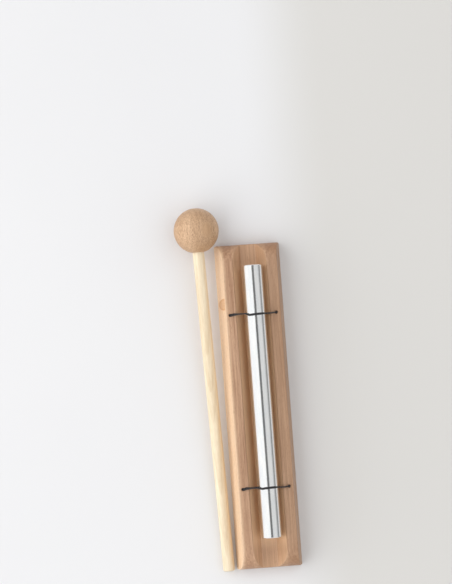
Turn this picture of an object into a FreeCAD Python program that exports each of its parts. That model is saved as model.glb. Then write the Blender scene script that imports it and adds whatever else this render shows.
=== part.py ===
import FreeCAD, Part
import math
import os

# Chime bar: a plain tuned rod, held on two elastic cords over a grooved wooden base, and its beater.
# Millimetres. +Y runs along the base to its far end, +X to the right, +Z up.
# The origin is the middle of the base's underside.

# Wooden base: slanted sides, rounded-over ends and a groove along its top that is open at both ends.
base_length = 177.0
base_foot_width = 36.0
base_top_width = 30.0
base_height = 16.0
end_round = 11.0
outer_arris_round = 0.6
groove_mouth_width = 18.8
groove_floor_width = 8.6
groove_depth = 8.5
groove_arris_round = 0.4
groove_corner_round = 0.8

# Tuned rod: solid bar with flat ends. It has settled a little off the middle of the groove.
rod_diameter = 11.1
rod_length = 148.2
rod_end_chamfer = 0.3
rod_lift_over_rails = 0.8
rod_shift_right = 1.2
rod_shift_far = 2.3

# Elastic cords: each one is doubled, with one strand over the rod and one under it.
cord_diameter = 0.7
cord_clearance = 0.05
cord_spacing = 94.7
cord_shift_far = 2.65
strand_gap = 0.05

# Cord holes: a pair through the rails for each cord, with a pocket below each hole for a knot.
hole_spacing = 25.2
hole_play = 0.08
hole_mouth_round = 0.3
knot_diameter = 3.6
knot_clearance = 0.1
pocket_play = 0.8
pocket_spare_depth = 0.6
pocket_chamfer = 0.4

# Beater: a turned ball glued on a dowel. It lies beside the base, with the ball past the far end.
ball_diameter = 24.6
socket_depth = 14.0
socket_clearance = 0.05
socket_end_gap = 0.1
socket_chamfer = 0.4
stick_diameter = 6.3
stick_end_chamfer = 0.5
stick_end_to_ball = 186.5
stick_side_gap = 1.35
stick_past_base = 0.3
stick_lean_degrees = 1.54

# How far a cutter runs past the surface that it cuts, and how near counts as lying on a surface.
cutter_margin = 5.0
tolerance = 0.001

# Sizes that several pieces share, worked out from the ones above.
groove_floor_height = base_height - groove_depth
rod_radius = rod_diameter / 2
rod_axis_height = base_height + rod_lift_over_rails
cord_radius = cord_diameter / 2
strand_offset = (cord_diameter + strand_gap) / 2
hole_radius = strand_offset + cord_radius + hole_play
hole_distance = hole_spacing / 2
knot_radius = knot_diameter / 2
pocket_depth = knot_diameter + knot_clearance + pocket_spare_depth
knot_height = pocket_depth - knot_clearance - knot_radius
cord_places = {
    "far_cord": cord_shift_far + cord_spacing / 2,
    "near_cord": cord_shift_far - cord_spacing / 2,
}
ball_radius = ball_diameter / 2
stick_radius = stick_diameter / 2


def rounded_face(corners, place):
    """Face inside (u, v, radius) corners. A corner with a radius is an arc tangent to its two sides."""
    edges = []
    first_start = None
    previous_end = None
    for index, (u, v, radius) in enumerate(corners):
        before = corners[index - 1]
        after = corners[(index + 1) % len(corners)]
        corner = FreeCAD.Vector(u, v, 0)
        back = FreeCAD.Vector(before[0] - u, before[1] - v, 0).normalize()
        ahead = FreeCAD.Vector(after[0] - u, after[1] - v, 0).normalize()
        half_angle = back.getAngle(ahead) / 2
        inwards = (back + ahead).normalize()
        side = radius / math.tan(half_angle)
        start = place(corner + back * side)
        end = place(corner + ahead * side)
        if previous_end is None:
            first_start = start
        else:
            edges.append(Part.LineSegment(previous_end, start).toShape())
        if radius:
            middle = place(corner + inwards * (radius / math.sin(half_angle) - radius))
            edges.append(Part.Arc(start, middle, end).toShape())
        previous_end = end
    edges.append(Part.LineSegment(previous_end, first_start).toShape())
    return Part.Face(Part.Wire(edges))


def outline_point(radius, height):
    """Point of a turned piece's outline, before the piece is set on its axis."""
    return FreeCAD.Vector(radius, 0, height)


def straight_edges(outline):
    """Straight edges from each (radius, height) point of an outline to the next."""
    points = [outline_point(radius, height) for radius, height in outline]
    return [Part.LineSegment(first, second).toShape() for first, second in zip(points, points[1:])]


def turned(edges, foot, direction):
    """Solid turned from a closed outline, with the outline's zero height at foot."""
    up = FreeCAD.Vector(0, 0, 1)
    solid = Part.Face(Part.Wire(edges)).revolve(FreeCAD.Vector(0, 0, 0), up, 360)
    solid.Placement = FreeCAD.Placement(foot, FreeCAD.Rotation(up, direction))
    return solid


def round_bar(radius, length, chamfer, foot, direction):
    """Plain round bar with a chamfer at both ends."""
    outline = [
        (0, 0),
        (radius - chamfer, 0),
        (radius, chamfer),
        (radius, length - chamfer),
        (radius - chamfer, length),
        (0, length),
        (0, 0),
    ]
    return turned(straight_edges(outline), foot, direction)


def groove_wall_lean():
    """Angle of the groove's walls from upright."""
    return math.atan2((groove_mouth_width - groove_floor_width) / 2, groove_depth)


def groove_wall_x(height):
    """Distance of a groove wall from the middle at a height."""
    return groove_floor_width / 2 + (height - groove_floor_height) * math.tan(groove_wall_lean())


def outer_side_x(height):
    """Distance of a slanted outer side from the middle at a height."""
    return (base_foot_width + (base_top_width - base_foot_width) * height / base_height) / 2


def is_outer_edge(middle):
    """Whether an edge with this middle point runs round the foot or along an outer side."""
    return middle.z < tolerance or abs(abs(middle.x) - outer_side_x(middle.z)) < tolerance


def is_groove_edge(middle):
    """Whether an edge with this middle point runs along the groove's mouth or round its open ends."""
    if abs(middle.x) > groove_wall_x(middle.z) + tolerance:
        return False
    at_open_end = abs(middle.y) > base_length / 2 - end_round
    return at_open_end and middle.z > groove_floor_height - tolerance or middle.z > base_height - tolerance


def soften(solid, radius, chosen):
    """Solid with its chosen edges rounded."""
    edges = []
    for edge in solid.Edges:
        middle = edge.valueAt((edge.FirstParameter + edge.LastParameter) / 2)
        if chosen(middle):
            edges.append(edge)
    return solid.makeFillet(radius, edges)


def grooved_block():
    """Base before its holes: its cross-section run lengthwise, kept inside its rounded side outline."""
    section = rounded_face(
        [
            (-base_foot_width / 2, 0, 0),
            (base_foot_width / 2, 0, 0),
            (base_top_width / 2, base_height, 0),
            (groove_mouth_width / 2, base_height, 0),
            (groove_floor_width / 2, groove_floor_height, groove_corner_round),
            (-groove_floor_width / 2, groove_floor_height, groove_corner_round),
            (-groove_mouth_width / 2, base_height, 0),
            (-base_top_width / 2, base_height, 0),
        ],
        lambda point: FreeCAD.Vector(point.x, -base_length / 2 - cutter_margin, point.y),
    )
    side_outline = rounded_face(
        [
            (-base_length / 2, 0, 0),
            (base_length / 2, 0, 0),
            (base_length / 2, base_height, end_round),
            (-base_length / 2, base_height, end_round),
        ],
        lambda point: FreeCAD.Vector(-base_foot_width / 2 - cutter_margin, point.x, point.y),
    )
    long_form = section.extrude(FreeCAD.Vector(0, base_length + 2 * cutter_margin, 0))
    side_form = side_outline.extrude(FreeCAD.Vector(base_foot_width + 2 * cutter_margin, 0, 0))
    block = soften(long_form.common(side_form), outer_arris_round, is_outer_edge)
    return soften(block, groove_arris_round, is_groove_edge)


def cord_hole_cutter(x, y):
    """Hole for a doubled cord, with its rounded mouth above and its knot pocket below."""
    pocket_radius = knot_radius + pocket_play
    mouth_radius = hole_radius + hole_mouth_round
    shoulder_height = base_height - hole_mouth_round
    mouth_halfway = hole_mouth_round * math.sin(math.radians(45))
    lower = straight_edges([
        (0, -cutter_margin),
        (pocket_radius + pocket_chamfer, -cutter_margin),
        (pocket_radius + pocket_chamfer, 0),
        (pocket_radius, pocket_chamfer),
        (pocket_radius, pocket_depth),
        (hole_radius, pocket_depth),
        (hole_radius, shoulder_height),
    ])
    mouth = Part.Arc(
        outline_point(hole_radius, shoulder_height),
        outline_point(mouth_radius - mouth_halfway, shoulder_height + mouth_halfway),
        outline_point(mouth_radius, base_height),
    ).toShape()
    upper = straight_edges([
        (mouth_radius, base_height),
        (mouth_radius, base_height + cutter_margin),
        (0, base_height + cutter_margin),
        (0, -cutter_margin),
    ])
    return turned(lower + [mouth] + upper, FreeCAD.Vector(x, y, 0), FreeCAD.Vector(0, 0, 1))


def base_block():
    """Wooden base with its four cord holes."""
    cutters = [
        cord_hole_cutter(x, y)
        for y in cord_places.values()
        for x in (-hole_distance, hole_distance)
    ]
    return grooved_block().cut(cutters)


def tangent_normal(first, second):
    """Direction, square to the right of the travel, of the straight run between two bends."""
    across = second[0] - first[0]
    rise = second[1] - first[1]
    distance = math.hypot(across, rise)
    return math.atan2(rise, across) - math.acos((second[2] - first[2]) / distance)


def touch_point(bend, normal):
    """Point of a bend where the run with that normal touches it."""
    across, height, radius = bend
    return (across - radius * math.cos(normal), height - radius * math.sin(normal))


def taut_edges(bends, place):
    """Straight runs and tangent arcs round (across, height, radius) bends.

    A bend that is passed clockwise has a radius above zero, and the other way below zero.
    The first and last bends are the two ends of the strand, with no radius.
    """
    normals = [tangent_normal(first, second) for first, second in zip(bends, bends[1:])]
    edges = []
    for index, normal in enumerate(normals):
        start = touch_point(bends[index], normal)
        end = touch_point(bends[index + 1], normal)
        edges.append(Part.LineSegment(place(*start), place(*end)).toShape())
        if index + 1 < len(normals):
            bend = bends[index + 1]
            middle = touch_point(bend, (normal + normals[index + 1]) / 2)
            leaving = touch_point(bend, normals[index + 1])
            edges.append(Part.Arc(place(*end), place(*middle), place(*leaving)).toShape())
    return edges


def rod_and_rail_bends(over_rod, skew):
    """Bends of a strand between its two holes: over the rod, or over both rails and under the rod."""
    rod_bend = rod_radius + cord_clearance + cord_radius
    rod_across = rod_shift_right / math.cos(skew)
    if over_rod:
        return [(rod_across, rod_axis_height, rod_bend)]
    arris_bend = groove_arris_round + cord_clearance + cord_radius
    arris_height = base_height - groove_arris_round
    arris_across = (
        groove_wall_x(arris_height) + groove_arris_round / math.cos(groove_wall_lean())
    ) / math.cos(skew)
    return [
        (-arris_across, arris_height, arris_bend),
        (rod_across, rod_axis_height, -rod_bend),
        (arris_across, arris_height, arris_bend),
    ]


def cord_strand(y, over_rod):
    """One strand, from the knot under the left rail to the knot under the right rail.

    The two strands lie side by side in the holes and cross at the rod, so each is a little askew.
    """
    reach_in_hole = hole_radius - cord_radius - cord_clearance
    inset = math.sqrt(reach_in_hole ** 2 - strand_offset ** 2)
    leg_across = math.hypot(hole_distance - inset, strand_offset)
    skew = math.asin(strand_offset / leg_across)
    if not over_rod:
        skew = -skew

    def place(across, height):
        return FreeCAD.Vector(across * math.cos(skew), y + across * math.sin(skew), height)

    mouth_bend = hole_mouth_round + cord_clearance + cord_radius
    mouth_across = leg_across - mouth_bend
    mouth_height = base_height - hole_mouth_round
    bends = [
        (-leg_across, knot_height, 0),
        (-mouth_across, mouth_height, mouth_bend),
        *rod_and_rail_bends(over_rod, skew),
        (mouth_across, mouth_height, mouth_bend),
        (leg_across, knot_height, 0),
    ]
    path = Part.Wire(taut_edges(bends, place))
    start = place(-leg_across, knot_height)
    section = Part.Wire([Part.makeCircle(cord_radius, start, FreeCAD.Vector(0, 0, 1))])
    strand = path.makePipeShell([section], True, False)
    plain_volume = math.pi * cord_radius ** 2 * path.Length
    tightest = min(abs(radius) for _, _, radius in bends if radius)
    print(
        f"strand at y {y:.1f}: {path.Length:.1f} mm, tightest arc {tightest:.2f} mm, "
        f"volume {strand.Volume / plain_volume:.4f} of section times length"
    )
    return strand


def elastic_cord(y):
    """Doubled elastic cord with a knot below each rail."""
    knots = [
        Part.makeSphere(knot_radius, FreeCAD.Vector(x, y, knot_height))
        for x in (-hole_distance, hole_distance)
    ]
    return cord_strand(y, over_rod=True).fuse([cord_strand(y, over_rod=False)] + knots)


def chime_rod():
    """Tuned rod, lying along the base over its groove."""
    foot = FreeCAD.Vector(rod_shift_right, rod_shift_far - rod_length / 2, rod_axis_height)
    return round_bar(rod_radius, rod_length, rod_end_chamfer, foot, FreeCAD.Vector(0, 1, 0))


def beater_axis():
    """End of the stick and the direction from it to the ball, with both resting on the floor."""
    tilt = math.asin(ball_radius / math.hypot(stick_end_to_ball, stick_radius))
    tilt -= math.atan2(stick_radius, stick_end_to_ball)
    lean = math.radians(stick_lean_degrees)
    stick_end = FreeCAD.Vector(
        -(base_foot_width / 2 + stick_side_gap + stick_radius),
        -(base_length / 2 + stick_past_base),
        stick_radius * math.cos(tilt),
    )
    level = math.cos(tilt)
    direction = FreeCAD.Vector(-math.sin(lean) * level, math.cos(lean) * level, math.sin(tilt))
    return stick_end, direction


def beater_stick():
    """Dowel, from its free end to just short of the socket's floor."""
    stick_end, direction = beater_axis()
    length = stick_end_to_ball - ball_radius + socket_depth - socket_end_gap
    return round_bar(stick_radius, length, stick_end_chamfer, stick_end, direction)


def beater_ball():
    """Ball with a blind socket for the stick."""
    stick_end, direction = beater_axis()
    socket_radius = stick_radius + socket_clearance
    mouth_radius = socket_radius + socket_chamfer
    mouth_height = -math.sqrt(ball_radius ** 2 - mouth_radius ** 2)
    socket_floor = socket_depth - ball_radius
    skin = Part.Arc(
        outline_point(0, ball_radius),
        outline_point(ball_radius, 0),
        outline_point(mouth_radius, mouth_height),
    ).toShape()
    socket = straight_edges([
        (mouth_radius, mouth_height),
        (socket_radius, mouth_height + socket_chamfer),
        (socket_radius, socket_floor),
        (0, socket_floor),
        (0, ball_radius),
    ])
    return turned([skin] + socket, stick_end + direction * stick_end_to_ball, direction)


def main():
    nodes = {
        "base_block": base_block(),
        "chime_rod": chime_rod(),
        "beater_ball": beater_ball(),
        "beater_stick": beater_stick(),
    }
    for name, y in cord_places.items():
        nodes[name] = elastic_cord(y)
    os.makedirs("parts", exist_ok=True)
    for name, shape in nodes.items():
        shape.exportStep(f"parts/{name}.step")
        print(f"{name}: {len(shape.Solids)} solid, {shape.Volume:.1f} mm3")


main()
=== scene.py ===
import math

import bpy
from mathutils import Matrix, Vector


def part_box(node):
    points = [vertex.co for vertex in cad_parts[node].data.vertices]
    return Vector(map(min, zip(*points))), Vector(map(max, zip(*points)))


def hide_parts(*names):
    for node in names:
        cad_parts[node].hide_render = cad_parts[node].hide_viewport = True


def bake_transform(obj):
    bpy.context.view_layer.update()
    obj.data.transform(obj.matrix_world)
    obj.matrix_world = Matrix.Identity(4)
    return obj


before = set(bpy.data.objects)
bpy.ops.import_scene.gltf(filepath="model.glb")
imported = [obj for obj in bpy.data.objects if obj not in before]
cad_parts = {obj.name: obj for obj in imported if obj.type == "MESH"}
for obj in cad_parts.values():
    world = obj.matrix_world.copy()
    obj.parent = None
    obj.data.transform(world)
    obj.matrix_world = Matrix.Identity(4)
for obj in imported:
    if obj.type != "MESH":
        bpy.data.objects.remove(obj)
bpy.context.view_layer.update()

# Metres, in the frame's axes: +Y along the base to its far end, +X to the right, +Z up.
MM = 0.001
UP = Vector((0, 0, 1))

# Camera: nearly overhead, a little to the left, and turned so that the base leans as in the photo.
camera_place = Vector((-107.1, 10.3, 1496.1)) * MM
picture_middle = Vector((-12.95, 63.41, 0)) * MM
camera_roll = math.radians(4.19)
camera_lens_mm = 168.3

# Light: a strong softbox on the left and a weaker one on the right, with a gap over the camera's way.
# Edges are degrees from straight up, across the base, with the left side below zero.
softboxes = {
    "left_softbox": {"edges": (-88, -21), "radiance": 1.5},
    "right_softbox": {"edges": (8, 76), "radiance": 0.52},
}
light_distance = 1.2
light_length = 2.4

# What the mirrors see in place of the softboxes and of the two dark gaps: the bands of the rod.
cards = {
    "left_card": {"edges": (-90, -13), "radiance": 1.06},
    "top_card": {"edges": (-13, 11), "radiance": 0.18},
    "right_card": {"edges": (11, 59), "radiance": 0.74},
    "edge_card": {"edges": (59, 70), "radiance": 0.56},
    "side_card": {"edges": (70, 90), "radiance": 0.30},
}
card_distance = 1.3
sky_fill = 0.55
sky_backdrop = 0.82
floor_size = 8.0

# Sizes from the frame, and those that the cords share with their holes.
base_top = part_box("base_block")[1].z
rod_low, rod_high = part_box("chime_rod")
rod_middle = (rod_low + rod_high) / 2
rod_radius = (rod_high.x - rod_low.x) / 2
cord_radius = 0.35 * MM
cord_gap = 0.05 * MM
hole_distance = 12.6 * MM
hole_radius = 0.805 * MM
hole_mouth_round = 0.3 * MM
groove_arris_round = 0.4 * MM
groove_arris_distance = 9.627 * MM
knot_height = 2.4 * MM
strand_offset = 0.375 * MM

# Where each strand lies, in mm: (distance across, shift towards the far end from its cord's middle).
strand_shifts = {
    "far_cord": {
        "over": (
            (-12, -0.375), (-10.4, -0.1), (-8, 0.22), (-5, 0.25), (-2.6, -0.62), (1.8, -0.4),
            (6, -0.27), (8.2, -0.28), (10.3, -0.21), (11.7, 0),
        ),
        "under": (
            (-12, 0.375), (-10.4, 0.6), (-7, 0.45), (5, -0.25), (8.2, -0.28), (10.3, -0.21), (11.7, 0),
        ),
    },
    "near_cord": {
        "over": (
            (-12, -0.375), (-10.7, 0.02), (-8, 0.28), (-5.5, 0.38), (-2.6, -0.21), (-0.6, -0.02),
            (3.4, 0.12), (6, 0.1), (8.2, -0.2), (10.3, -0.25), (11.7, 0),
        ),
        "under": (
            (-12, 0.375), (-10.7, 0.75), (-8.5, 0.6), (5, 0.1), (8.2, -0.2), (10.3, -0.25), (11.7, 0),
        ),
    },
}

# Over the rod a strand is pressed flat: how much wider it gets, and where, in mm across.
press_width = 1.8
press_stations = ((-4.2, 0), (-2.4, 1), (4.4, 1), (6.6, 0))

# Display colours of the finishes, in parts of 255.
tones = {
    "beech_pale": (204, 164, 132),
    "beech_deep": (150, 108, 77),
    # Painted shade: the base's right half darker, away from the strong light on the left.
    "beech_painted_shade_right": (150, 116, 86),
    # Painted light: the base's left side paler, as lit by the strong light from the left.
    "beech_painted_light_left": (250, 219, 184),
    # Grain lines laid over the painted light of the left side.
    "beech_left_line": (212, 164, 118),
    "beech_ray": (128, 84, 54),
    # Painted light: the groove's walls and floor paler, lifting their shade under the rod.
    "beech_painted_groove_light": (236, 196, 156),
    "beech_end_grain": (150, 100, 62),
    "pin_knot": (206, 148, 88),
    "ball_pale": (216, 180, 144),
    "ball_deep": (158, 119, 84),
    "ball_eye": (190, 146, 100),
    "ball_ray": (134, 94, 60),
    "stick_pale": (242, 228, 200),
    "stick_deep": (206, 180, 142),
    "rod_cool": (240, 242, 243),
    "rod_warm": (247, 247, 246),
    "cord_deep": (24, 23, 25),
    "cord_crown": (52, 50, 53),
    "paper_deep": (225, 225, 227),
    "paper_pale": (232, 232, 233),
    # Painted shade: the greyer patch of the sheet beside the base's right.
    "paper_painted_shade": (212, 210, 206),
}

# Where those tones change, in mm, from the first value to the second.
# Painted shade on the base: across its right half, from no share up to 0.45.
painted_shade_right_across = (-2.0, 18.0)
# Painted light on the base's slanted left side.
painted_light_side_across = (-13.0, -16.0)
# Painted light in the groove, fading at its rim, at its foot and towards the base's ends.
painted_groove_light_across = (9.7, 9.0)
painted_groove_light_along = (80.0, 70.0)
groove_rim_height = (15.9, 15.0)
groove_foot_height = (0.5, 4.0)
pin_knot_across = (-14.9, -15.2)
pin_knot_middle = (0, 56.1, 13.6)
pin_knot_half_length = 3.3
pin_knot_half_height = 11.4
ball_eye_way = Vector((0.42, -0.06, 0.9))
ball_eye_reach = (1.5, 4.5)
turning_mark_step = 0.35
# Painted shade on the sheet, beside the base's right.
painted_shade_patch_middle = (120, 0, 0)
painted_shade_patch_reach = (110.0, 420.0)
painted_shade_patch_across = (0.0, 50.0)

# Modelled detail of the cords.
braid_sides = 16
braid_step = 0.11 * MM
braid_lay = 1.3 * MM
braid_carriers = 4
braid_relief = 0.05
knot_ring = 0.86 * MM
knot_wind = 0.44 * MM
knot_steps = 96
tail_length = 1.1 * MM
tail_splay = 0.4 * MM


class Finish:
    """Node material, with one short call for each kind of node that the finishes use."""

    def __init__(self, name, **sockets):
        self.material = bpy.data.materials.new(name)
        self.material.use_nodes = True
        self.tree = self.material.node_tree
        self.shader = self.tree.nodes["Principled BSDF"]
        own = self.node("TexCoord", {}).outputs
        self.normal = own["Normal"]
        self.place = self.vector("MULTIPLY", own["Object"], (1 / MM, 1 / MM, 1 / MM))
        for socket, value in sockets.items():
            self.set(socket.replace("_", " "), value)

    def set(self, socket, value):
        self.feed(self.shader.inputs[socket], value)

    def feed(self, socket, value):
        if isinstance(value, bpy.types.NodeSocket):
            self.tree.links.new(value, socket)
        else:
            socket.default_value = value

    def node(self, kind, inputs, **settings):
        made = self.tree.nodes.new("ShaderNode" + kind)
        for name, value in settings.items():
            setattr(made, name, value)
        for socket, value in inputs.items():
            self.feed(made.inputs[socket], value)
        return made

    def vector(self, operation, *values):
        made = self.node("VectorMath", dict(enumerate(values)), operation=operation)
        return made.outputs["Value" if operation == "LENGTH" else "Vector"]

    def math(self, operation, *values):
        return self.node("Math", dict(enumerate(values)), operation=operation).outputs[0]

    def parts(self, vector):
        split = self.node("SeparateXYZ", {0: vector})
        return split.outputs["X"], split.outputs["Y"], split.outputs["Z"]

    def along_grain(self, across, along, shift=0.0):
        """Place scaled across and along the grain, which runs along Y."""
        return self.vector("MULTIPLY_ADD", self.place, (across, along, across), (shift, shift, shift))

    def noise(self, place, detail=2.0, roughness=0.5, output="Fac"):
        inputs = {"Vector": place, "Scale": 1.0, "Detail": detail, "Roughness": roughness}
        return self.node("TexNoise", inputs).outputs[output]

    def between(self, value, low, high, start=0.0, end=1.0):
        """Smooth step of a value, from start at low to end at high."""
        inputs = {"Value": value, "From Min": low, "From Max": high, "To Min": start, "To Max": end}
        return self.node("MapRange", inputs, interpolation_type="SMOOTHSTEP").outputs["Result"]

    def mix(self, share, first, second, blend="MIX"):
        inputs = {0: share, 6: first, 7: second}
        return self.node("Mix", inputs, data_type="RGBA", blend_type=blend).outputs[2]

    def bump(self, height, distance, strength=1.0):
        inputs = {"Height": height, "Distance": distance, "Strength": strength}
        self.set("Normal", self.node("Bump", inputs).outputs["Normal"])


def tone(name):
    """Linear colour of one of the tones."""
    parts = [value / 255 for value in tones[name]]
    return (*[v / 12.92 if v <= 0.04045 else ((v + 0.055) / 1.055) ** 2.4 for v in parts], 1)


def wood_grain(finish, pale, deep, ring_middle, ring_spacing, ring_depth, streak_depth):
    """Colour and relief of solid wood: yearly rings round the tree's middle, streaks, fibres and broad
    patches.
    """
    cloud = finish.noise(finish.along_grain(0.05, 0.014), output="Color")
    sway = finish.vector("SUBTRACT", cloud, (0.5,) * 3)
    swayed = finish.vector("MULTIPLY_ADD", sway, (6, 0, 6), finish.place)
    spoke = finish.vector("MULTIPLY", finish.vector("SUBTRACT", swayed, ring_middle), (1, 0, 1))
    ring = finish.math("FRACT", finish.math("DIVIDE", finish.vector("LENGTH", spoke), ring_spacing))
    late = finish.math("MULTIPLY", finish.between(ring, 0.3, 0.9), finish.between(ring, 1.0, 0.93))
    streak = finish.between(finish.noise(finish.along_grain(1.5, 0.03), 4.0), 0.3, 0.7)
    fibre = finish.noise(finish.along_grain(6.0, 0.16, 3.0), 3.0, 0.6)
    patch = finish.between(finish.noise(finish.along_grain(0.12, 0.02, 7.0), 1.0), 0.35, 0.65)
    depth = finish.math("MULTIPLY", late, ring_depth)
    depth = finish.math("MULTIPLY_ADD", streak, streak_depth, depth)
    depth = finish.math("MULTIPLY_ADD", patch, 0.26, depth)
    depth = finish.math("MULTIPLY_ADD", fibre, 0.8, depth)
    return finish.mix(finish.math("SUBTRACT", depth, 0.35), pale, deep), fibre


def flecks(finish, across, along, low, high, shift=0.0):
    """Share of short dark dashes, the rays of the wood, in the colour."""
    return finish.between(finish.noise(finish.along_grain(across, along, shift), 1.0), low, high)


def base_wood():
    """Beech block: long straight grain, small flecks, deeper end grain and a pin knot on its left; painted
    light on its left side and in its groove, painted shade on its right.
    """
    finish = Finish("base_wood_finish", Roughness=0.48, IOR=1.5)
    shade, fibre = wood_grain(
        finish, tone("beech_pale"), tone("beech_deep"),
        ring_middle=(-46, 0, -38), ring_spacing=1.9, ring_depth=0.18, streak_depth=0.44,
    )
    across, along, height = finish.parts(finish.place)
    from_middle = finish.math("ABSOLUTE", across)
    towards_end = finish.math("ABSOLUTE", along)
    # Painted shade: the base darkened towards its right side, away from the strong light on the left.
    shade = finish.mix(finish.between(across, *painted_shade_right_across, 0.0, 0.45), shade, tone("beech_painted_shade_right"))
    # Painted light: the left side paled for the strong light from the left; left_side is its mask.
    left_side = finish.between(across, *painted_light_side_across)
    shade = finish.mix(finish.math("MULTIPLY", left_side, 0.8), shade, tone("beech_painted_light_left"))
    # Grain lines laid over the painted light of the left side, so its grain still shows.
    line = finish.noise(finish.along_grain(2.4, 0.05, 5.0), 3.0, 0.6)
    line = finish.between(line, 0.46, 0.66, 0.0, 0.42)
    shade = finish.mix(finish.math("MULTIPLY", left_side, line), shade, tone("beech_left_line"))
    dash = finish.math("MULTIPLY", flecks(finish, 3.4, 0.55, 0.60, 0.70), 0.30)
    shade = finish.mix(dash, shade, tone("beech_ray"))
    # Painted light in the groove: walls and floor paled, most under the rod where they lie in shade; groove
    # is its mask.
    groove = finish.between(from_middle, *painted_groove_light_across)
    groove = finish.math("MULTIPLY", groove, finish.between(height, *groove_rim_height, 0.0, 0.85))
    groove = finish.math("MULTIPLY", groove, finish.between(height, *groove_foot_height))
    groove = finish.math("MULTIPLY", groove, finish.between(towards_end, *painted_groove_light_along, 0.25, 1.0))
    shade = finish.mix(groove, shade, tone("beech_painted_groove_light"))
    end_facing = finish.math("ABSOLUTE", finish.parts(finish.normal)[1])
    shade = finish.mix(finish.between(end_facing, 0.35, 1.0, 0.0, 0.35), shade, tone("beech_end_grain"))
    shade = finish.mix(pin_knot(finish), shade, tone("pin_knot"))
    finish.set("Base Color", shade)
    finish.set("Roughness", finish.between(fibre, 0.3, 0.7, 0.40, 0.56))
    finish.bump(fibre, 0.03 * MM, 0.6)
    return finish.material


def pin_knot(finish):
    """Share of the pin knot's colour: an oval cut by the left side's top edge, deepest at its rim."""
    cloud = finish.noise(finish.along_grain(0.5, 0.5), output="Color")
    wander = finish.vector("SUBTRACT", cloud, (0.5,) * 3)
    place = finish.vector("MULTIPLY_ADD", wander, (0, 0.9, 1.6), finish.place)
    offset = finish.vector("SUBTRACT", place, pin_knot_middle)
    size_share = (0, 1 / pin_knot_half_length, 1 / pin_knot_half_height)
    reach = finish.vector("LENGTH", finish.vector("MULTIPLY", offset, size_share))
    body = finish.between(reach, 1.04, 0.84)
    rim = finish.between(reach, 0.5, 0.95, 0.46, 0.80)
    ring = finish.math("FRACT", finish.math("MULTIPLY", reach, 3.5))
    rim = finish.math("MULTIPLY_ADD", finish.between(ring, 0.3, 0.9), 0.10, rim)
    left_side = finish.between(finish.parts(finish.place)[0], *pin_knot_across)
    return finish.math("MULTIPLY", finish.math("MULTIPLY", body, rim), left_side)


def ball_wood():
    """Turned beech ball: many short flecks along the stick's way, and a smooth eye on its upper right."""
    low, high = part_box("beater_ball")
    eye_place = ((low + high) / 2 + ball_eye_way * (high.x - low.x) / 2) / MM
    finish = Finish("ball_wood_finish", Roughness=0.5, IOR=1.5)
    shade, fibre = wood_grain(
        finish, tone("ball_pale"), tone("ball_deep"),
        ring_middle=(-60, 0, 30), ring_spacing=2.9, ring_depth=0.12, streak_depth=0.22,
    )
    offset = finish.vector("SUBTRACT", finish.place, eye_place)
    eye = finish.vector("LENGTH", finish.vector("MULTIPLY", offset, (1, 0.7, 1)))
    dash = flecks(finish, 3.0, 0.5, 0.50, 0.62, 2.0)
    dash = finish.math("MULTIPLY", dash, finish.between(eye, *ball_eye_reach, 0.1, 0.5))
    shade = finish.mix(finish.between(eye, *ball_eye_reach, 0.35, 0.0), shade, tone("ball_eye"))
    shade = finish.mix(dash, shade, tone("ball_ray"))
    finish.set("Base Color", shade)
    finish.bump(fibre, 0.03 * MM, 0.6)
    return finish.material


def stick_wood():
    """Pale birch dowel with faint long streaks."""
    finish = Finish("stick_wood_finish", Roughness=0.5, IOR=1.5)
    shade, fibre = wood_grain(
        finish, tone("stick_pale"), tone("stick_deep"),
        ring_middle=(-30, 0, 40), ring_spacing=1.7, ring_depth=0.22, streak_depth=0.25,
    )
    finish.set("Base Color", shade)
    finish.bump(fibre, 0.03 * MM, 0.6)
    return finish.material


def polished_rod():
    """Polished aluminium, with faint marks round the rod and turning marks on its faced ends."""
    finish = Finish("rod_finish", Metallic=1.0)
    marks = finish.noise(finish.along_grain(0.25, 9.0), 3.0, 0.6)
    cloud = finish.noise(finish.along_grain(0.5, 0.08), 2.0)
    shade = finish.mix(finish.between(cloud, 0.3, 0.7), tone("rod_cool"), tone("rod_warm"))
    finish.set("Base Color", shade)
    finish.set("Roughness", finish.between(marks, 0.3, 0.7, 0.10, 0.17))
    spoke = finish.vector("SUBTRACT", finish.place, tuple(rod_middle / MM))
    radius = finish.vector("LENGTH", finish.vector("MULTIPLY", spoke, (1, 0, 1)))
    groove = finish.math("SINE", finish.math("MULTIPLY", radius, 2 * math.pi / turning_mark_step))
    end = finish.between(finish.math("ABSOLUTE", finish.parts(finish.normal)[1]), 0.8, 0.95)
    height = finish.math("MULTIPLY_ADD", groove, finish.math("MULTIPLY", end, 0.8), marks)
    finish.bump(height, 0.004 * MM, 0.5)
    return finish.material


def elastic_cord():
    """Black braided elastic, lighter where its fuzz stands up."""
    finish = Finish("cord_finish", Roughness=0.7, IOR=1.45)
    finish.set("Sheen Weight", 0.15)
    fuzz = finish.noise(finish.vector("MULTIPLY", finish.place, (9, 9, 9)), 3.0, 0.7)
    shade = finish.mix(finish.between(fuzz, 0.35, 0.7), tone("cord_deep"), tone("cord_crown"))
    finish.set("Base Color", shade)
    finish.bump(fuzz, 0.02 * MM, 0.7)
    return finish.material


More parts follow.
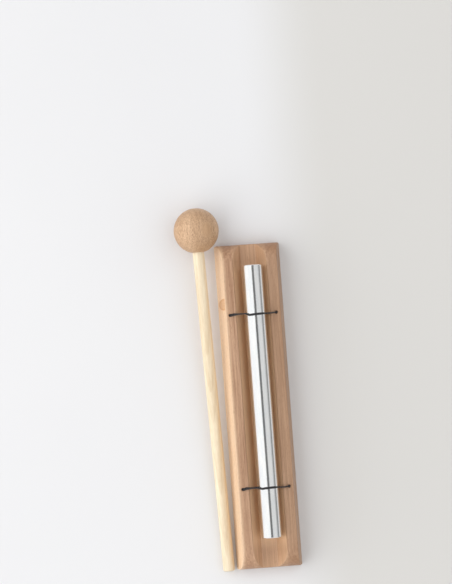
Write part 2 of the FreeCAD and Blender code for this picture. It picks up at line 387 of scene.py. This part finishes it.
def floor_paper():
    """Pale backing sheet, with painted shade: a little greyer beside the base's right."""
    finish = Finish("floor_finish", Roughness=0.85)
    cloud = finish.noise(finish.vector("MULTIPLY", finish.place, (0.004, 0.004, 0.004)), 3.0)
    shade = finish.mix(cloud, tone("paper_deep"), tone("paper_pale"))
    # Painted shade: a greyer patch of the sheet right of the base; right is its mask.
    offset = finish.vector("SUBTRACT", finish.place, painted_shade_patch_middle)
    reach = finish.vector("LENGTH", finish.vector("MULTIPLY", offset, (1, 0.6, 1)))
    right = finish.between(finish.parts(finish.place)[0], *painted_shade_patch_across)
    right = finish.math("MULTIPLY", right, finish.between(reach, *painted_shade_patch_reach, 0.9, 0.0))
    finish.set("Base Color", finish.mix(right, shade, tone("paper_painted_shade")))
    return finish.material


def tangent_normal(first, second):
    """Direction, square to the right of the travel, of the straight run between two bends."""
    across = second[0] - first[0]
    rise = second[1] - first[1]
    return math.atan2(rise, across) - math.acos((second[2] - first[2]) / math.hypot(across, rise))


def taut_line(bends):
    """Points of a taut cord round (across, height, radius) bends, clockwise at a positive radius."""
    normals = [tangent_normal(first, second) for first, second in zip(bends, bends[1:])]
    points = []
    for index, (across, height, radius) in enumerate(bends):
        arriving = normals[max(index - 1, 0)]
        leaving = normals[min(index, len(normals) - 1)]
        steps = max(1, math.ceil(abs((leaving - arriving) * radius) / braid_step))
        for step in range(steps + 1):
            normal = arriving + (leaving - arriving) * step / steps
            point = (across - radius * math.cos(normal), height - radius * math.sin(normal))
            if not points or math.dist(points[-1], point) > braid_step / 4:
                points.append(point)
    return points


def strand_line(over_rod):
    """(across, height) points of a strand, from the knot under the left rail to the one under the right."""
    reach = cord_gap + cord_radius
    bend = hole_mouth_round + reach
    left_leg = hole_distance - math.sqrt((hole_radius - reach) ** 2 - strand_offset ** 2)
    right_leg = hole_distance - hole_radius + reach
    right_mouth = right_leg - bend
    between = [
        (-groove_arris_distance, base_top - groove_arris_round, groove_arris_round + reach),
        (rod_middle.x, rod_middle.z, -rod_radius - reach),
        (groove_arris_distance, base_top - groove_arris_round, groove_arris_round + reach),
    ]
    if over_rod:
        between = [(rod_middle.x, rod_middle.z, rod_radius + reach)]
        right_leg += 2 * strand_offset
    return taut_line([
        (-left_leg, knot_height, 0),
        (bend - left_leg, base_top - hole_mouth_round, bend),
        *between,
        (right_mouth, base_top - hole_mouth_round, right_leg - right_mouth),
        (right_leg, knot_height, 0),
    ])


def evenly(points, step):
    """The same line in nearly equal steps."""
    reached = [0.0]
    for first, second in zip(points, points[1:]):
        reached.append(reached[-1] + math.dist(first, second))
    count = round(reached[-1] / step)
    line, index = [], 0
    for number in range(count + 1):
        target = reached[-1] * number / count
        while index < len(points) - 2 and reached[index + 1] < target:
            index += 1
        share = (target - reached[index]) / (reached[index + 1] - reached[index])
        line.append([a + (b - a) * share for a, b in zip(points[index], points[index + 1])])
    return line


def eased(across, stations):
    """Value at a place between (place, value) stations, level at each of them."""
    if across <= stations[0][0]:
        return stations[0][1]
    for (first, start), (second, end) in zip(stations, stations[1:]):
        if across <= second:
            share = (across - first) / (second - first)
            return start + (end - start) * share * share * (3 - 2 * share)
    return stations[-1][1]


def strand_path(node, over_rod, cord_place):
    """Points of a strand, and how many times wider it is at each of them."""
    stations = strand_shifts[node]["over" if over_rod else "under"]
    points, widths = [], []
    for across, height in evenly(strand_line(over_rod), braid_step):
        width = 1 + (press_width - 1) * eased(across / MM, press_stations) if over_rod else 1
        inward = Vector((rod_middle.x - across, 0, rod_middle.z - height)).normalized()
        place = Vector((across, cord_place + eased(across / MM, stations) * MM, height))
        points.append(place + inward * cord_radius * (1 - 1 / width))
        widths.append(width)
    return points, widths


def tube(path, reference, widths=None, closed=False):
    """Vertices and faces of a braided tube, widened along reference, which the path never runs along."""
    vertices, faces = [], []
    last = len(path) - 1
    for index, point in enumerate(path):
        before = path[index - 1] if closed or index else point
        after = path[(index + 1) % len(path)] if closed or index < last else point
        travel = (after - before).normalized()
        width = widths[index] if widths else 1
        side = travel.cross(reference).normalized() / width
        lift = side.normalized().cross(travel) * width
        lay = 2 * math.pi * index * braid_step / braid_lay
        for corner in range(braid_sides):
            turn = 2 * math.pi * corner / braid_sides
            crown = math.cos(braid_carriers * turn + lay) * math.cos(braid_carriers * turn - lay)
            radius = cord_radius * (1 - braid_relief * (1 - crown) / 2)
            vertices.append(point + (side * math.cos(turn) + lift * math.sin(turn)) * radius)
    for ring in range(len(path) if closed else last):
        following = (ring + 1) % len(path)
        for corner in range(braid_sides):
            beside = (corner + 1) % braid_sides
            faces.append([
                ring * braid_sides + corner, ring * braid_sides + beside,
                following * braid_sides + beside, following * braid_sides + corner,
            ])
    if not closed:
        faces.append(list(range(braid_sides))[::-1])
        faces.append([last * braid_sides + corner for corner in range(braid_sides)])
    return vertices, faces


def knot_paths(middle):
    """Closed overhand knot, and the two short tails that leave it."""
    loop = []
    for step in range(knot_steps):
        turn = 2 * math.pi * step / knot_steps
        radius = knot_ring + knot_wind * math.cos(3 * turn)
        loop.append(middle + Vector((
            radius * math.cos(2 * turn), radius * math.sin(2 * turn), knot_wind * math.sin(3 * turn),
        )))
    tails = []
    for way in (-1, 1):
        start = middle + Vector((0, way * strand_offset, 0))
        end = start + Vector((0, way * tail_splay, -tail_length))
        steps = math.ceil(tail_length / braid_step)
        tails.append([start.lerp(end, step / steps) for step in range(steps + 1)])
    return loop, tails


def mesh_piece(name, shells, finish):
    """One smooth mesh object of several (vertices, faces) shells."""
    vertices, faces = [], []
    for shell_vertices, shell_faces in shells:
        faces += [[corner + len(vertices) for corner in face] for face in shell_faces]
        vertices += shell_vertices
    mesh = bpy.data.meshes.new(name)
    mesh.from_pydata(vertices, [], faces)
    mesh.shade_smooth()
    mesh.materials.append(finish)
    piece = bpy.data.objects.new(name, mesh)
    bpy.context.scene.collection.objects.link(piece)
    return piece


def cord_half(node, side, finish):
    """The part of a cord on one side of the rod's middle, with the knot at its foot."""
    low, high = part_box(node)
    cord_place = (low.y + high.y) / 2
    way = -1 if side == "left" else 1
    shells = []
    for over_rod in (True, False):
        stations = zip(*strand_path(node, over_rod, cord_place))
        kept = [station for station in stations if (station[0].x - rod_middle.x) * way > -braid_step]
        path, widths = zip(*kept)
        shells.append(tube(path, Vector((0, 1, 0)), widths))
    loop, tails = knot_paths(Vector((way * hole_distance, cord_place, knot_height)))
    shells.append(tube(loop, UP, closed=True))
    shells += [tube(tail, Vector((1, 0, 0))) for tail in tails]
    piece = mesh_piece(f"{node}_{side}", shells, finish)
    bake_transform(piece)
    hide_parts(node)


def facing_matrix(place, outward, upward):
    """Matrix of something at a place that looks against outward, with its top towards upward."""
    sideways = upward.cross(outward).normalized()
    turned = Matrix((sideways, outward.cross(sideways), outward)).transposed()
    return Matrix.Translation(place) @ turned.to_4x4()


def panel(edges, distance):
    """Matrix and width of a flat panel seen from the rod between two angles from straight up."""
    middle = math.radians((edges[0] + edges[1]) / 2)
    outward = Vector((math.sin(middle), 0, math.cos(middle)))
    width = 2 * distance * math.tan(math.radians((edges[1] - edges[0]) / 2))
    return facing_matrix(rod_middle + outward * distance, outward, Vector((0, 1, 0))), width


def softbox(name, edges, radiance):
    matrix, width = panel(edges, light_distance)
    light = bpy.data.lights.new(name, "AREA")
    light.shape = "RECTANGLE"
    light.size = width
    light.size_y = light_length
    light.energy = radiance * math.pi * width * light_length
    lamp = bpy.data.objects.new(name, light)
    lamp.matrix_world = matrix
    lamp.visible_camera = False
    lamp.visible_glossy = False
    bpy.context.scene.collection.objects.link(lamp)


def sheet_corners(half_width, half_length):
    """Corners of a flat sheet round the origin, facing up."""
    ways = ((-1, -1), (1, -1), (1, 1), (-1, 1))
    return [Vector((across * half_width, along * half_length, 0)) for across, along in ways]


def card(name, edges, radiance):
    """A glowing card that only mirrors see."""
    finish = Finish(name + "_finish", Roughness=1.0)
    finish.set("Base Color", (0, 0, 0, 1))
    finish.set("Specular IOR Level", 0.0)
    finish.set("Emission Color", (1, 1, 1, 1))
    finish.set("Emission Strength", radiance)
    matrix, width = panel(edges, card_distance)
    corners = [matrix @ corner for corner in sheet_corners(width / 2, light_length)]
    board = mesh_piece(name, [(corners, [[0, 1, 2, 3]])], finish.material)
    board.visible_camera = False
    board.visible_diffuse = False
    board.visible_shadow = False


def sky():
    """Even fill for the object, and a pale backdrop for what the camera and mirrors see."""
    world = bpy.data.worlds.new("sky")
    world.use_nodes = True
    tree = world.node_tree
    rays = tree.nodes.new("ShaderNodeLightPath")
    seen = rays.outputs["Is Camera Ray"]
    for kind in ("Is Glossy Ray", "Is Transmission Ray"):
        either = tree.nodes.new("ShaderNodeMath")
        either.operation = "MAXIMUM"
        tree.links.new(seen, either.inputs[0])
        tree.links.new(rays.outputs[kind], either.inputs[1])
        seen = either.outputs[0]
    level = tree.nodes.new("ShaderNodeMapRange")
    level.inputs["To Min"].default_value = sky_fill
    level.inputs["To Max"].default_value = sky_backdrop
    tree.links.new(seen, level.inputs["Value"])
    tree.links.new(level.outputs["Result"], tree.nodes["Background"].inputs["Strength"])
    tree.nodes["Background"].inputs["Color"].default_value = (1, 1, 1, 1)
    bpy.context.scene.world = world


def floor():
    corners = sheet_corners(floor_size / 2, floor_size / 2)
    mesh_piece("floor", [(corners, [[0, 1, 2, 3]])], floor_paper())


def camera():
    lens = bpy.data.cameras.new("camera")
    lens.lens = camera_lens_mm
    lens.sensor_width = 36
    viewer = bpy.data.objects.new("camera", lens)
    upward = Vector((math.sin(camera_roll), math.cos(camera_roll), 0))
    viewer.matrix_world = facing_matrix(camera_place, (camera_place - picture_middle).normalized(), upward)
    bpy.context.scene.collection.objects.link(viewer)
    bpy.context.scene.camera = viewer
    bpy.context.scene.view_settings.view_transform = "Standard"


def wear(node, finish):
    """The CAD node's own shape with this finish."""
    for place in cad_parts[node].material_slots:
        place.material = finish


wear("base_block", base_wood())
wear("chime_rod", polished_rod())
wear("beater_ball", ball_wood())
wear("beater_stick", stick_wood())
cord_black = elastic_cord()
for cord_name in ("far_cord", "near_cord"):
    for cord_side in ("left", "right"):
        cord_half(cord_name, cord_side, cord_black)

floor()
camera()
sky()
for light_name, facts in softboxes.items():
    softbox(light_name, **facts)
for card_name, facts in cards.items():
    card(card_name, **facts)
